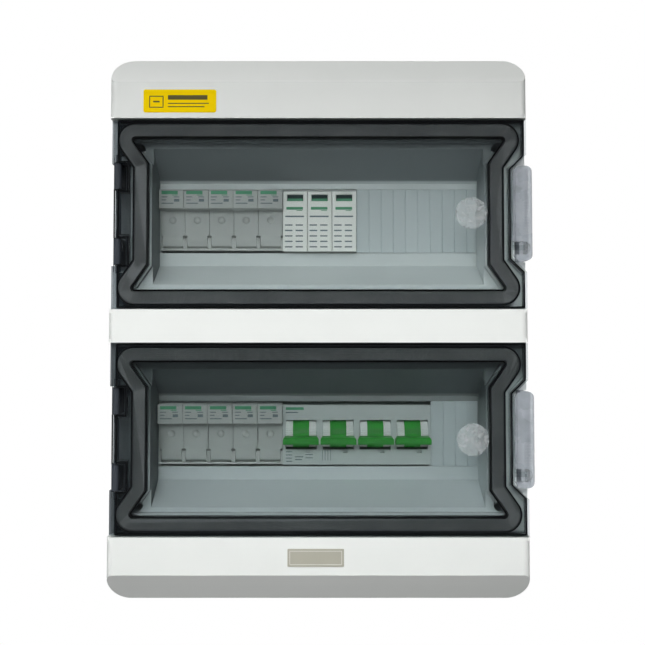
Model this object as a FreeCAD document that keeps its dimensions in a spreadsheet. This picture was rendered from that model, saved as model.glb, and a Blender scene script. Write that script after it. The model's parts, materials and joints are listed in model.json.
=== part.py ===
import FreeCAD, Part

import math
import os

import Sketcher

from FreeCAD import Placement, Rotation, Vector

# DC combiner box. X runs to the right, Y back into the wall and Z up; the origin is the centre of
# the back face. The front looks along -Y. Each device row is described about its own centre line.

document = FreeCAD.newDocument("dc_combiner_box")
sheet = document.addObject("Spreadsheet::Sheet", "Sizes")

DIMENSIONS = [
    ("BoxWidth", 290, "overall width"),
    ("BoxHeight", 380, "overall height"),
    ("BoxDepth", 120, "wall face to cover front"),
    ("BaseDepth", 72, "depth of the base shell"),
    ("Wall", 3, "shell wall"),
    ("OutlineRadius", 14, "corner radius seen from the front"),
    ("BevelDrop", 20, "height of the top and bottom bevels"),
    ("BevelRun", 20, "depth of the top and bottom bevels"),
    ("SideRound", 5, "rounding of the cover's upright front edges"),
    ("RowHeight", 78, "device row centre above or below the middle"),
    ("FieldHalf", 66.5, "half height of the sunk field under a door"),
    ("FieldSunk", 10, "depth of that field below the cover front"),
    ("FunnelHalf", 116.8, "half width of the window funnel"),
    ("FunnelTop", 51.6, "half height of the funnel mouth"),
    ("FunnelFloor", 47, "funnel floor below the cover front"),
    ("FloorTop", 27.6, "funnel floor above the row centre"),
    ("FloorBottom", 33.4, "funnel floor below the row centre"),
    ("CornerOut", 10.9, "how far the mouth's corners reach out"),
    ("WaistHigh", 36, "height where the straight waist starts"),
    ("PocketDeep", 6, "depth of the mouth's corner pockets"),
    ("ApertureTop", 23.6, "device opening above the row centre"),
    ("ApertureBottom", 23.8, "device opening below the row centre"),
    ("DoorHalf", 66, "half height of a door"),
    ("DoorRight", 144.5, "right edge of a door"),
    ("DoorLeft", 142.5, "left edge of a door at its knuckles"),
    ("DoorNotch", 133.6, "left edge of a door beside a lug"),
    ("DoorLatchEdge", 134.4, "right edge of a door beside its latch"),
    ("DoorPanel", 3, "door panel thickness"),
    ("DoorSkirt", 2.5, "door skirt thickness"),
    ("RibThick", 1.4, "rib beside the foam seal"),
    ("SealInner", 2.5, "seal's inner line outside the mouth"),
    ("SealOuter", 11, "seal's outer line outside the mouth"),
    ("HingeX", 140, "hinge line left of the middle"),
    ("HingeY", 115, "hinge line in front of the wall"),
    ("KnuckleRadius", 2.6, "hinge knuckle"),
    ("PinRadius", 1, "hinge pin"),
    ("RunningGap", 0.05, "radial clearance of a running fit"),
    ("ChannelEdge", 131.5, "inner side of the hinge channel"),
    ("ChannelFloor", 97, "floor of the hinge channel off the wall"),
    ("LatchX", 141.5, "latch pin right of the middle"),
    ("LatchY", 97.5, "latch pin in front of the wall"),
    ("LatchHalf", 33, "half height of a latch"),
    ("LatchOuter", 148.3, "outer face of a latch"),
    ("ScrewX", 127, "cover screw right of the middle"),
    ("ScrewZ", 125, "cover screw above the middle"),
    ("WellRadius", 4.4, "cover screw well"),
    ("WallHoleX", 110, "wall hole right of the middle"),
    ("WallHoleZ", 160, "wall hole above the middle"),
    ("WallHoleRadius", 2.75, "wall hole"),
    ("RailFront", 31.5, "front plane of the rails off the wall"),
    ("RailHeight", 35, "rail height"),
    ("RailDepth", 7.5, "rail depth"),
    ("RailHalf", 122, "half length of a rail"),
    ("RailBossX", 100, "rail screw right of the middle"),
    ("Module", 18, "device module width"),
    ("Pole", 27, "breaker pole width"),
    ("RowLeft", 116, "left end of the device rows"),
    ("DeviceFace", 75.5, "device fronts off the wall"),
    ("DeviceHalf", 41, "half height of a device behind the cover"),
    ("FacePlateHalf", 22.3, "half height of a device front"),
    ("BreakerTop", 20.9, "breaker front above the row centre"),
    ("CarrierY", 70.4, "fuse carrier pivot off the wall"),
    ("CarrierZ", 15.6, "fuse carrier pivot below the row centre"),
    ("FuseRadius", 5.15, "cartridge fuse cap"),
    ("FuseLength", 38, "cartridge fuse"),
    ("DrumY", 70.5, "toggle axis off the wall"),
    ("DrumZ", 0.4, "toggle axis below the row centre"),
    ("DrumRadius", 9.4, "toggle drum"),
    ("DotX", 106, "thumb dot right of the middle"),
    ("DotRadius", 11, "thumb dot"),
]


class Size:
    """A length from the sheet: its number, and the expression that the model is bound to."""

    def __init__(self, number, text):
        self.number = number
        self.text = text

    def __add__(self, other):
        other = as_size(other)
        return Size(self.number + other.number, f"({self.text} + {other.text})")

    def __sub__(self, other):
        other = as_size(other)
        return Size(self.number - other.number, f"({self.text} - {other.text})")

    def __mul__(self, other):
        other = as_size(other)
        return Size(self.number * other.number, f"({self.text} * {other.text})")

    def __truediv__(self, other):
        other = as_size(other)
        return Size(self.number / other.number, f"({self.text} / {other.text})")

    def __neg__(self):
        return Size(-self.number, f"(0 - {self.text})")

    def __radd__(self, other):
        return as_size(other) + self

    def __rsub__(self, other):
        return as_size(other) - self

    def __rmul__(self, other):
        return as_size(other) * self


def as_size(value):
    if isinstance(value, Size):
        return value
    return Size(float(value), f"({float(value)})")


SIZES = {}
for line, (alias, amount, meaning) in enumerate(DIMENSIONS, start=1):
    sheet.set(f"A{line}", meaning)
    sheet.set(f"B{line}", str(amount))
    sheet.setAlias(f"B{line}", alias)
    SIZES[alias] = Size(float(amount), f"Sizes.{alias}")
document.recompute()


def size(alias):
    return SIZES[alias]


# ---------------------------------------------------------------- building blocks

def bind(item, path, value):
    item.setExpression(path, as_size(value).text)


def place(item, x, y, z):
    bind(item, "Placement.Base.x", x)
    bind(item, "Placement.Base.y", y)
    bind(item, "Placement.Base.z", z)


def block(name, x_low, x_high, y_low, y_high, z_low, z_high):
    """A box between two corners."""
    item = document.addObject("Part::Box", name)
    bind(item, "Length", as_size(x_high) - x_low)
    bind(item, "Width", as_size(y_high) - y_low)
    bind(item, "Height", as_size(z_high) - z_low)
    place(item, x_low, y_low, z_low)
    return item


TURNS = {
    "x": Rotation(Vector(0, 1, 0), 90),
    "y": Rotation(Vector(1, 0, 0), -90),
    "z": Rotation(),
}


def rod(name, axis, radius, x, y, z, length):
    """A cylinder that starts at a point and runs along +X, +Y or +Z."""
    item = document.addObject("Part::Cylinder", name)
    item.Placement = Placement(Vector(), TURNS[axis])
    bind(item, "Radius", radius)
    bind(item, "Height", length)
    place(item, x, y, z)
    return item


def ball(name, radius, x, y, z):
    item = document.addObject("Part::Sphere", name)
    bind(item, "Radius", radius)
    place(item, x, y, z)
    return item


def fuse(name, parts):
    item = document.addObject("Part::MultiFuse", name)
    item.Shapes = parts
    return item


def cut(name, base, tools):
    item = document.addObject("Part::Cut", name)
    item.Base = base
    item.Tool = tools[0] if len(tools) == 1 else fuse(name + "_tools", tools)
    return item


def common(name, first, second):
    item = document.addObject("Part::Common", name)
    item.Base = first
    item.Tool = second
    return item


def group(name, parts):
    """Separate identical solids that share one node."""
    item = document.addObject("Part::Compound", name)
    item.Links = parts
    return item


def fix(sketch, geometry, end, point):
    """Hold one end of a line at a point worked out from the sheet."""
    for kind, value in (("DistanceX", as_size(point[0])), ("DistanceY", as_size(point[1]))):
        index = sketch.addConstraint(Sketcher.Constraint(kind, -1, 1, geometry, end, value.number))
        sketch.setExpression(f"Constraints[{index}]", value.text)


def draw_polygon(sketch, points):
    corners = [Vector(as_size(p[0]).number, as_size(p[1]).number, 0) for p in points]
    count = len(corners)
    for index in range(count):
        sketch.addGeometry(Part.LineSegment(corners[index], corners[(index + 1) % count]), False)
    for index in range(count):
        sketch.addConstraint(Sketcher.Constraint("Coincident", index, 2, (index + 1) % count, 1))
        fix(sketch, index, 1, points[index])


def draw_rounded(sketch, x_low, x_high, z_low, z_high, radius):
    """A rectangle with four tangent corner arcs."""
    left, right = as_size(x_low).number, as_size(x_high).number
    low, high = as_size(z_low).number, as_size(z_high).number
    bend = as_size(radius).number
    starts = [(left + bend, low), (right, low + bend), (right - bend, high), (left, high - bend)]
    ends = [(right - bend, low), (right, high - bend), (left + bend, high), (left, low + bend)]
    centres = [(right - bend, low + bend), (right - bend, high - bend),
               (left + bend, high - bend), (left + bend, low + bend)]
    quarter = math.pi / 2
    for side in range(4):
        sketch.addGeometry(Part.LineSegment(Vector(*starts[side], 0), Vector(*ends[side], 0)), False)
    for side in range(4):
        circle = Part.Circle(Vector(*centres[side], 0), Vector(0, 0, 1), bend)
        first = (side - 1) * quarter
        sketch.addGeometry(Part.ArcOfCircle(circle, first, first + quarter), False)
    for side in range(4):
        arc = 4 + side
        sketch.addConstraint(Sketcher.Constraint("Tangent", side, 2, arc, 1))
        sketch.addConstraint(Sketcher.Constraint("Tangent", arc, 2, (side + 1) % 4, 1))
    for side, kind in enumerate(("Horizontal", "Vertical", "Horizontal", "Vertical")):
        sketch.addConstraint(Sketcher.Constraint(kind, side))
    for arc in (5, 6, 7):
        sketch.addConstraint(Sketcher.Constraint("Equal", 4, arc))
    index = sketch.addConstraint(Sketcher.Constraint("Radius", 4, bend))
    bind(sketch, f"Constraints[{index}]", radius)
    for kind, line, value in (("DistanceY", 0, z_low), ("DistanceX", 1, x_high),
                              ("DistanceY", 2, z_high), ("DistanceX", 3, x_low)):
        number = as_size(value).number
        index = sketch.addConstraint(Sketcher.Constraint(kind, -1, 1, line, 1, number))
        bind(sketch, f"Constraints[{index}]", value)


def body_sketch(name, role, start):
    """A new body with an empty sketch on one of its own origin planes, moved along the normal."""
    body = document.addObject("PartDesign::Body", name)
    plane = [item for item in body.Origin.OriginFeatures if item.Role == role][0]
    sketch = body.newObject("Sketcher::SketchObject", name + "_sketch")
    sketch.AttachmentSupport = [(plane, "")]
    sketch.MapMode = "FlatFace"
    bind(sketch, "AttachmentOffset.Base.z", start)
    return body, sketch


def pad(body, sketch, length):
    feature = body.newObject("PartDesign::Pad", body.Name + "_pad")
    feature.Profile = sketch
    bind(feature, "Length", length)
    body.Tip = feature
    sketch.Visibility = False
    return body


def side_prism(name, points, x_low, x_high):
    """A solid whose (y, z) outline runs from one x to another."""
    body, sketch = body_sketch(name, "YZ_Plane", x_low)
    draw_polygon(sketch, points)
    return pad(body, sketch, as_size(x_high) - x_low)


def front_prism(name, points, y_back, y_front):
    """A solid whose (x, z) outline runs forward, given as distances in front of the wall."""
    body, sketch = body_sketch(name, "XZ_Plane", y_back)
    draw_polygon(sketch, points)
    return pad(body, sketch, as_size(y_front) - y_back)


def plan_prism(name, points, z_low, z_high):
    """A solid whose (x, y) outline runs upwards."""
    body, sketch = body_sketch(name, "XY_Plane", z_low)
    draw_polygon(sketch, points)
    return pad(body, sketch, as_size(z_high) - z_low)


def rounded_prism(name, half_x, half_z, radius, y_back, y_front):
    """A rounded rectangle about the middle, running forward."""
    body, sketch = body_sketch(name, "XZ_Plane", y_back)
    draw_rounded(sketch, -as_size(half_x), half_x, -as_size(half_z), half_z, radius)
    return pad(body, sketch, as_size(y_front) - y_back)


def finish(item, name):
    item.Label = name
    NODES.append((name, item))


NODES = []

# Distances that several pieces share.
half_width = size("BoxWidth") / 2
half_height = size("BoxHeight") / 2
wall = size("Wall")
front = size("BoxDepth")
base_depth = size("BaseDepth")
field_floor = front - size("FieldSunk")
funnel_floor = front - size("FunnelFloor")
rail_front = size("RailFront")
rail_half = size("RailHeight") / 2
gap = size("RunningGap")
row_heights = {"upper": size("RowHeight"), "lower": -size("RowHeight")}
corner_signs = [(-1, -1), (1, -1), (1, 1), (-1, 1)]

# Points along a quarter round of radius one, from its side tangent to its front tangent.
ROUND_STEPS = 6
QUARTER_ROUND = [(1 - math.cos(step * math.pi / 2 / ROUND_STEPS),
                  1 - math.sin(step * math.pi / 2 / ROUND_STEPS)) for step in range(ROUND_STEPS + 1)]


# ---------------------------------------------------------------- base shell

def rear_box():
    shell = rounded_prism("base_outer", half_width, half_height, size("OutlineRadius"), 0, base_depth)
    hollow = rounded_prism("base_hollow", half_width - wall, half_height - wall,
                           size("OutlineRadius") - wall, wall, base_depth + 1)
    walls = cut("base_walls", shell, [hollow])

    # A thick rim carries the seal groove.
    rim_wide = wall + 5
    rim_outer = rounded_prism("rim_outer", half_width - 1, half_height - 1,
                              size("OutlineRadius") - 1, base_depth - 6, base_depth)
    rim_inner = rounded_prism("rim_inner", half_width - rim_wide, half_height - rim_wide,
                              size("OutlineRadius") - 7, base_depth - 7, base_depth + 1)
    rim = cut("base_rim", rim_outer, [rim_inner])

    solids = [walls, rim]
    holes = []
    for number, (sx, sz) in enumerate(corner_signs, start=1):
        x = sx * size("ScrewX")
        z = sz * size("ScrewZ")
        solids.append(rod(f"cover_post_{number}", "y", 5.5, x, -base_depth, z, base_depth - 1))
        holes.append(rod(f"cover_pilot_{number}", "y", 2, x, -base_depth - 1, z, 25))
        holes.append(rod(f"wall_hole_{number}", "y", size("WallHoleRadius"), sx * size("WallHoleX"),
                         -wall - 1, sz * size("WallHoleZ"), wall + 2))
    rail_back = rail_front - size("RailDepth")
    for row, height in row_heights.items():
        for number, sign in enumerate((-1, 1), start=1):
            x = sign * size("RailBossX")
            name = f"rail_boss_{row}_{number}"
            solids.append(rod(name, "y", 7, x, -rail_back, height, rail_back - 1))
            holes.append(rod(name + "_pilot", "y", 2, x, -rail_back - 1, height, 14))

    groove_outer = rounded_prism("groove_outer", half_width - 2.6, half_height - 2.6,
                                 size("OutlineRadius") - 2.6, base_depth - 2.2, base_depth + 1)
    groove_inner = rounded_prism("groove_inner", half_width - 5.6, half_height - 5.6,
                                 size("OutlineRadius") - 5.6, base_depth - 3, base_depth + 2)
    holes.append(cut("groove", groove_outer, [groove_inner]))

    # Closed knock-outs for cable glands, as rings sunk into the floor and the roof of the shell.
    for place_name, sign in (("floor", -1), ("roof", 1)):
        for number in range(4):
            x = -75 + 50 * number
            radius = 10 if number in (0, 3) else 12.5
            z_start = -half_height - 1 if sign < 0 else half_height - 0.8
            name = f"knockout_{place_name}_{number + 1}"
            ring = rod(name, "z", radius, x, -base_depth / 2, z_start, 1.8)
            core = rod(name + "_core", "z", radius - 1, x, -base_depth / 2, z_start - 1, 4)
            holes.append(cut(name + "_ring", ring, [core]))
    finish(cut("rear_box", fuse("base_solids", solids), holes), "rear_box")


def box_seal():
    outer = rounded_prism("seal_outer", half_width - 2.7, half_height - 2.7,
                          size("OutlineRadius") - 2.7, base_depth - 2.1, base_depth)
    inner = rounded_prism("seal_inner", half_width - 5.5, half_height - 5.5,
                          size("OutlineRadius") - 5.5, base_depth - 3, base_depth + 1)
    finish(cut("box_seal", outer, [inner]), "box_seal")


# ---------------------------------------------------------------- cover

def draw_mouth(sketch, height, outset):
    """The window mouth grown by an outset: a straight waist, and four corners that reach out."""
    waist = size("FunnelHalf") + outset
    reach = size("FunnelHalf") + size("CornerOut")
    top = size("FunnelTop")
    grow = as_size(outset)
    slant = math.atan(size("CornerOut").number / (top - size("WaistHigh")).number)
    slip = Size(math.tan(slant / 2), "tan(atan(Sizes.CornerOut / (Sizes.FunnelTop - Sizes.WaistHigh)) / 2)")
    waist_top = size("WaistHigh") - grow * slip
    if grow.number == 0:
        quarter = [(waist, waist_top), (reach, top)]
        points = quarter + [(-x, z) for x, z in reversed(quarter)]
        points += [(-x, -z) for x, z in quarter] + [(x, -z) for x, z in reversed(quarter)]
        draw_polygon(sketch, [(x, height + z) for x, z in points])
        return

    straight = math.pi / 2
    corners = [((1, 1), -slant, straight), ((-1, 1), straight, 2 * straight + slant),
               ((-1, -1), 2 * straight - slant, 3 * straight), ((1, -1), 3 * straight, 4 * straight + slant)]
    arcs = []
    ends = []
    for (sx, sz), first, last in corners:
        centre = Vector(sx * reach.number, (height + sz * top).number, 0)
        circle = Part.Circle(centre, Vector(0, 0, 1), grow.number)
        arcs.append(sketch.addGeometry(Part.ArcOfCircle(circle, first, last), False))
        ends.append([centre + Vector(math.cos(turn), math.sin(turn), 0) * grow.number
                     for turn in (first, last)])
        fix(sketch, arcs[-1], 3, (sx * reach, height + sz * top))
        index = sketch.addConstraint(Sketcher.Constraint("Radius", arcs[-1], grow.number))
        bind(sketch, f"Constraints[{index}]", grow)

    waists = [(waist, height - waist_top), (waist, height + waist_top),
              (-waist, height + waist_top), (-waist, height - waist_top)]
    spots = [Vector(x.number, z.number, 0) for x, z in waists]

    def line(start, stop):
        return sketch.addGeometry(Part.LineSegment(start, stop), False)

    right = line(spots[0], spots[1])
    left = line(spots[2], spots[3])
    slants = [line(spots[1], ends[0][0]), line(ends[1][1], spots[2]),
              line(spots[3], ends[2][0]), line(ends[3][1], spots[0])]
    roof = line(ends[0][1], ends[1][0])
    floor = line(ends[2][1], ends[3][0])
    for one, one_end, two, two_end in ((slants[0], 2, arcs[0], 1), (arcs[0], 2, roof, 1),
                                       (roof, 2, arcs[1], 1), (arcs[1], 2, slants[1], 1),
                                       (slants[2], 2, arcs[2], 1), (arcs[2], 2, floor, 1),
                                       (floor, 2, arcs[3], 1), (arcs[3], 2, slants[3], 1)):
        sketch.addConstraint(Sketcher.Constraint("Tangent", one, one_end, two, two_end))
    for one, one_end, two, two_end in ((right, 2, slants[0], 1), (slants[1], 2, left, 1),
                                       (left, 2, slants[2], 1), (slants[3], 2, right, 1)):
        sketch.addConstraint(Sketcher.Constraint("Coincident", one, one_end, two, two_end))
    for geometry, spot in ((right, 0), (slants[0], 1), (left, 2), (slants[2], 3)):
        fix(sketch, geometry, 1, waists[spot])


def mouth_prism(name, height, outset, y_back, y_front):
    """The mouth's outline grown by an outset, as a solid between two distances off the wall."""
    body, sketch = body_sketch(name, "XZ_Plane", y_back)
    draw_mouth(sketch, height, outset)
    return pad(body, sketch, as_size(y_front) - y_back)


def mouth_ring(name, height, inner, outer, y_back, y_front):
    big = mouth_prism(name + "_outer", height, outer, y_back, y_front)
    small = mouth_prism(name + "_inner", height, inner, as_size(y_back) - 1, as_size(y_front) + 1)
    return cut(name, big, [small])


def cover_blank(name, inset, y_back):
    """The cover's outside, or its inside when inset: three outlines crossed at right angles."""
    half_x = half_width - inset
    half_z = half_height - inset
    face = front - inset
    bevel_z = size("BevelDrop")
    bevel_y = size("BevelRun")
    side = side_prism(name + "_side", [
        (-y_back, -half_z), (-(face - bevel_y), -half_z), (-face, -(half_z - bevel_z)),
        (-face, half_z - bevel_z), (-(face - bevel_y), half_z), (-y_back, half_z)],
        -half_x, half_x)
    outline = rounded_prism(name + "_outline", half_x, half_z, size("OutlineRadius") - inset,
                            y_back, face)
    bend = size("SideRound")
    right = [(half_x - bend * a, -(face - bend * b)) for a, b in QUARTER_ROUND]
    left = [(-(half_x - bend * a), -(face - bend * b)) for a, b in reversed(QUARTER_ROUND)]
    plan = plan_prism(name + "_plan", [(half_x, -y_back)] + right + left + [(-half_x, -y_back)],
                      -half_z, half_z)
    return common(name, common(name + "_front", side, outline), plan)


def funnel(name, height, grow, floor, reach):
    """Straight sides, a sloped roof and a sloped sill, narrowing down to the device opening."""
    top = size("FunnelTop") + grow
    half = size("FunnelHalf") + grow
    mouth_y = -field_floor
    return side_prism(name, [
        (mouth_y - reach, height + top), (mouth_y, height + top),
        (-floor, height + size("FloorTop") + grow), (-floor, height - size("FloorBottom") - grow),
        (mouth_y, height - top), (mouth_y - reach, height - top)], -half, half)


def cover_window(row, height):
    """One window: what it adds to the cover, and what is then taken away."""
    skin = 2.5
    mouth_y = -field_floor
    pocket_floor = field_floor - size("PocketDeep")
    house_half = size("LatchHalf") + 3.5
    adds = [
        funnel(f"{row}_funnel_skin", height, skin, funnel_floor - skin, -1),
        mouth_prism(f"{row}_pocket_skin", height, 2.4, pocket_floor - skin, field_floor - 1),
        mouth_ring(f"{row}_lip", height, size("SealInner") + 3.1, size("SealInner") + 5.4,
                   field_floor - 1, field_floor + 3.4),
        block(f"{row}_latch_house", size("LatchX") - 6.5, half_width - 0.5, mouth_y + 1, -86,
              height - house_half, height + house_half),
    ]
    cuts = [
        funnel(f"{row}_funnel", height, 0, funnel_floor, 3),
        mouth_prism(f"{row}_pockets", height, 0, pocket_floor, field_floor + 3),
        block(f"{row}_aperture", 0.3 - size("FunnelHalf"), size("FunnelHalf") - 0.3,
              -funnel_floor - 1, -funnel_floor + 5, height - size("ApertureBottom"),
              height + size("ApertureTop")),
        block(f"{row}_latch_pocket", size("LatchX") - 4, half_width + 5, mouth_y - 5, -88.5,
              height - size("LatchHalf") - 0.4, height + size("LatchHalf") + 0.4),
        rod(f"{row}_latch_bore", "z", 1.2 + gap, size("LatchX"), -size("LatchY"),
            height - size("LatchHalf") - 2.6, 2 * size("LatchHalf") + 5.2),
    ]

    # A deep channel beside the waist makes room for the hinge.
    channel_half = 36
    adds.append(block(f"{row}_channel_house", 2 - half_width, -size("ChannelEdge") + 2.5, mouth_y,
                      2.5 - size("ChannelFloor"), height - channel_half - 2.5,
                      height + channel_half + 2.5))
    cuts.append(block(f"{row}_channel", -half_width - 5, -size("ChannelEdge"), mouth_y - 5,
                      -size("ChannelFloor"), height - channel_half, height + channel_half))
    return adds, cuts


def front_cover():
    shell = cut("cover_shell", cover_blank("cover_outer", 0, base_depth),
                [cover_blank("cover_inner", wall, base_depth - 1)])
    trays = [shell]
    fields = []
    adds = []
    cuts = []
    for row, height in row_heights.items():
        half = size("FieldHalf")
        trays.append(block(f"{row}_tray", 1 - half_width, half_width - 1, 1 - front,
                           2.8 - field_floor, height - half - 2.8, height + half + 2.8))
        fields.append(block(f"{row}_field", -half_width - 5, half_width + 5, -front - 5,
                            -field_floor, height - half, height + half))
        more, less = cover_window(row, height)
        adds += more
        cuts += less

    # Four screw wells, in the mouths' outer corners, reach down to the base.
    well_top = field_floor - 3
    well_floor = 76
    for number, (sx, sz) in enumerate(corner_signs, start=1):
        x = sx * size("ScrewX")
        z = sz * size("ScrewZ")
        adds.append(rod(f"well_{number}", "y", size("WellRadius") + 2.1, x, -well_top, z,
                        well_top - base_depth))
        cuts.append(rod(f"well_bore_{number}", "y", size("WellRadius"), x, -field_floor - 1, z,
                        field_floor + 1 - well_floor))
        cuts.append(rod(f"well_hole_{number}", "y", 2.3, x, -well_floor - 1, z, 8))
    tray_cover = cut("cover_fields", fuse("cover_trays", trays), fields)
    finish(cut("front_cover", fuse("cover_all", [tray_cover] + adds), cuts), "front_cover")


def cover_screws():
    screws = []
    for number, (sx, sz) in enumerate(corner_signs, start=1):
        x = sx * size("ScrewX")
        z = sz * size("ScrewZ")
        name = f"cover_screw_{number}"
        head = rod(name + "_head", "y", 3.9, x, -79.5, z, 3.5)
        shank = rod(name + "_shank", "y", 1.95, x, -76.5, z, 24)
        slots = [block(name + "_slot_a", x - 2.6, x + 2.6, -80, -78, z - 0.5, z + 0.5),
                 block(name + "_slot_b", x - 0.5, x + 0.5, -80, -78, z - 2.6, z + 2.6)]
        screws.append(cut(name, fuse(name + "_solid", [head, shank]), slots))
    finish(group("cover_screws", screws), "cover_screws")


def plates():
    """The hazard label and the blank name badge on the cover's flat bands."""
    label = block("hazard_label", -121.6, -71, -front - 0.3, -front, 148.3, 164.4)
    badge = block("name_badge", -21, 17.5, -front - 0.6, -front, -164, -152)
    finish(label, "hazard_label")
    finish(badge, "name_badge")


# ---------------------------------------------------------------- doors

def door_outline(height, inset):
    """The door from the front: notched beside its lugs, narrowed beside its latch."""
    half = size("DoorHalf") - inset
    right = size("DoorRight") - inset
    latch = size("DoorLatchEdge") - inset
    left = -(size("DoorLeft") - inset)
    notch = -(size("DoorNotch") - inset)
    lug_far = as_size(35.5) + inset * 0.5
    lug_near = as_size(17) - inset
    points = [(right, -half), (right, -41 - inset), (latch, -31 - inset * 0.5),
              (latch, 31 + inset * 0.5), (right, 41 + inset), (right, half), (left, half),
              (left, lug_far), (notch, lug_far), (notch, lug_near), (left, lug_near),
              (left, -lug_near), (notch, -lug_near), (notch, -lug_far), (left, -lug_far),
              (left, -half)]
    return [(x, height + z) for x, z in points]


def door(row, height):
    name = f"{row}_door"
    inside = front - size("DoorPanel")
    skirt_back = 111
    sides = front_prism(name + "_sides", door_outline(height, as_size(0)), skirt_back, front)
    left_round = [(-size("DoorLeft") + 4 * a, -front + 4 * b) for a, b in QUARTER_ROUND]
    right_round = [(size("DoorRight") - 1.5 * a, -front + 1.5 * b) for a, b in reversed(QUARTER_ROUND)]
    plan = plan_prism(name + "_plan", [(-size("DoorLeft"), -100)] + left_round + right_round
                      + [(size("DoorRight"), -100)], height - 70, height + 70)
    skin = common(name + "_skin", sides, plan)
    room = front_prism(name + "_room", door_outline(height, size("DoorSkirt")), skirt_back - 1, inside)
    inner = size("SealInner")
    outer = size("SealOuter")
    rib = size("RibThick")
    solids = [
        cut(name + "_shell", skin, [room]),
        mouth_ring(name + "_inner_rib", height, inner - rib, inner, 112, inside + 1),
        mouth_ring(name + "_outer_rib", height, outer, outer + rib, 112, inside + 1),
        block(name + "_finger", size("DoorLatchEdge") - 1, 143, -119.6, -116.6, height - 25.55,
              height - 22.05),
    ]
    knuckles = [(-40.5, -35.5), (-17, 17), (35.5, 40.5)]
    bores = []
    for number, (low, high) in enumerate(knuckles, start=1):
        knuckle = f"{name}_knuckle_{number}"
        solids.append(rod(knuckle, "z", size("KnuckleRadius"), -size("HingeX"), -size("HingeY"),
                          height + low, high - low))
    for number, low in enumerate((-41.5, 11), start=1):
        bores.append(rod(f"{name}_bore_{number}", "z", size("PinRadius") + gap, -size("HingeX"),
                         -size("HingeY"), height + low, 30.5))
    finish(cut(name, fuse(name + "_solids", solids), bores), name)


def door_seal(row, height):
    name = f"{row}_door_seal"
    inside = front - size("DoorPanel")
    ring = mouth_ring(name, height, size("SealInner") + 0.05, size("SealOuter") - 0.05,
                      inside - 3.3, inside)
    finish(ring, name)


def door_dot(row, height):
    name = f"{row}_door_dot"
    finish(rod(name, "y", size("DotRadius"), size("DotX"), -front - 0.4, height, 0.4), name)


def hinge_lugs():
    """Posts that stand in the cover's hinge channels, between the door's knuckles."""
    lugs = []
    length = 18.1
    for row, height in row_heights.items():
        for number, low in enumerate((height - 35.3, height + 17.2), start=1):
            name = f"{row}_lug_{number}"
            barrel = rod(name + "_barrel", "z", size("KnuckleRadius"), -size("HingeX"),
                         -size("HingeY"), low, length)
            foot = block(name + "_foot", -size("HingeX") - 2.5, 2.5 - size("HingeX"), -size("HingeY"),
                         -size("ChannelFloor"), low, low + length)
            bore = rod(name + "_bore", "z", size("PinRadius") + gap, -size("HingeX"),
                       -size("HingeY"), low - 1, length + 2)
            lugs.append(cut(name, fuse(name + "_solid", [barrel, foot]), [bore]))
    finish(group("hinge_lugs", lugs), "hinge_lugs")


# ---------------------------------------------------------------- latches

def latch(row, height):
    """A side clip: front plate, side wall and an arm back to its pin; its slot clears the finger."""
    name = f"{row}_latch"
    half = size("LatchHalf")
    low = height - half
    high = height + half
    pin_x = size("LatchX")
    pin_y = -size("LatchY")
    outer = size("LatchOuter")
    left = size("DoorLatchEdge") + 0.5
    skin = plan_prism(name + "_skin", [
        (left, -119.4), (left + 1.6, -121), (outer - 2.2, -121), (outer - 0.6, -120.2),
        (outer, -118.6), (outer, pin_y - 0.5), (outer - 1.2, pin_y + 1.2), (pin_x, pin_y + 1.2),
        (pin_x, pin_y - 1.2), (outer - 2.7, pin_y - 1.2), (outer - 2.7, -118.4), (left, -118.4)],
        low, high)
    corner = 5
    trim_body, trim_sketch = body_sketch(name + "_trim", "XZ_Plane", 90)
    draw_rounded(trim_sketch, left, outer, low, high, corner)
    shell = common(name + "_shell", skin, pad(trim_body, trim_sketch, 40))
    barrel = rod(name + "_barrel", "z", 2.4, pin_x, pin_y, low, 2 * half)
    slot_low = height - 28.7
    slot_high = height - 19.7
    slot = block(name + "_slot", left - 1, 142, -122, -118, slot_low, slot_high)
    slot_end = rod(name + "_slot_end", "y", 4.5, 142, -122, height - 24.2, 4)
    bore = rod(name + "_bore", "z", 1.2 + gap, pin_x, pin_y, low - 1, 2 * half + 2)
    finish(cut(name, fuse(name + "_solid", [shell, barrel]), [slot, slot_end, bore]), name)


def pivot_pins():
    pins = []
    for row, height in row_heights.items():
        for number, low in enumerate((-41, 11.5), start=1):
            pins.append(rod(f"{row}_hinge_pin_{number}", "z", size("PinRadius"), -size("HingeX"),
                            -size("HingeY"), height + low, 29.5))
        pins.append(rod(f"{row}_latch_pin", "z", 1.2, size("LatchX"), -size("LatchY"),
                        height - size("LatchHalf") - 2.5, 2 * size("LatchHalf") + 5))
    finish(group("pivot_pins", pins), "pivot_pins")


# ---------------------------------------------------------------- rails and blanking strips

def din_rail(row, height):
    """A 35 x 7.5 mm hat-section rail with a screw hole over each boss."""
    name = f"din_rail_{row}"
    back = rail_front - size("RailDepth")
    sheet_thick = 1
    web = 12.5
    profile = side_prism(name + "_profile", [
        (-rail_front, height + rail_half), (-rail_front, height + web),
        (-back - sheet_thick, height + web), (-back - sheet_thick, height - web),
        (-rail_front, height - web), (-rail_front, height - rail_half),
        (sheet_thick - rail_front, height - rail_half),
        (sheet_thick - rail_front, height - web - sheet_thick),
        (-back, height - web - sheet_thick), (-back, height + web + sheet_thick),
        (sheet_thick - rail_front, height + web + sheet_thick),
        (sheet_thick - rail_front, height + rail_half)], -size("RailHalf"), size("RailHalf"))
    holes = [rod(f"{name}_hole_{number}", "y", 2.6, sign * size("RailBossX"), -back - 3, height, 6)
             for number, sign in enumerate((-1, 1), start=1)]
    finish(cut(name, profile, holes), name)


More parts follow.
